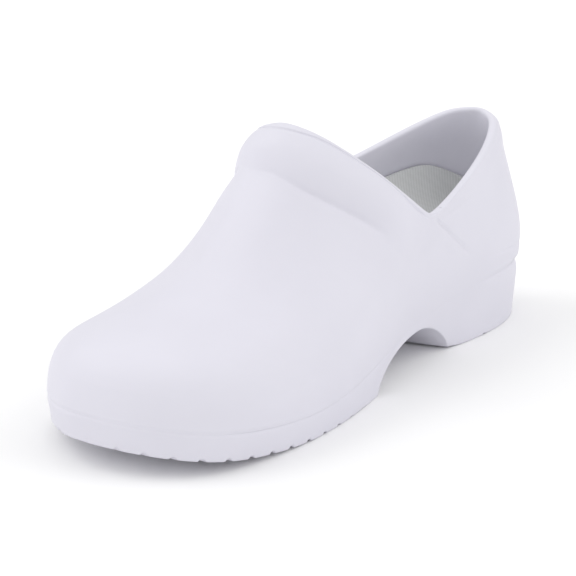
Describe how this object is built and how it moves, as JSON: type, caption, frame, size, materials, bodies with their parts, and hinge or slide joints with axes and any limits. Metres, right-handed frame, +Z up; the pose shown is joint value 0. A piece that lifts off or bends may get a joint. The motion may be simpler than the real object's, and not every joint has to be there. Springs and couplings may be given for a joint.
{
  "type": "chef clog",
  "caption": "Closed-back moulded work clog with a padded instep roll, low notched collar, arched sole with heel block and a cupped insole.",
  "frame": {"origin": "on the floor, under the middle of the clog's box", "axes": "+X from heel to toe, +Y to the inner side of the foot, +Z up"},
  "size_m": [0.2738, 0.1086, 0.1073],
  "materials": {
    "upper_foam": "white moulded EVA foam, smooth satin skin",
    "sole_foam": "white moulded EVA foam, satin, matte on the tread",
    "insole_cloth": "grey fine square-woven cloth over foam"
  },
  "bodies": {
    "root": {"upper": "upper_foam", "sole": "sole_foam", "insole": "insole_cloth"}
  },
  "joints": []
}
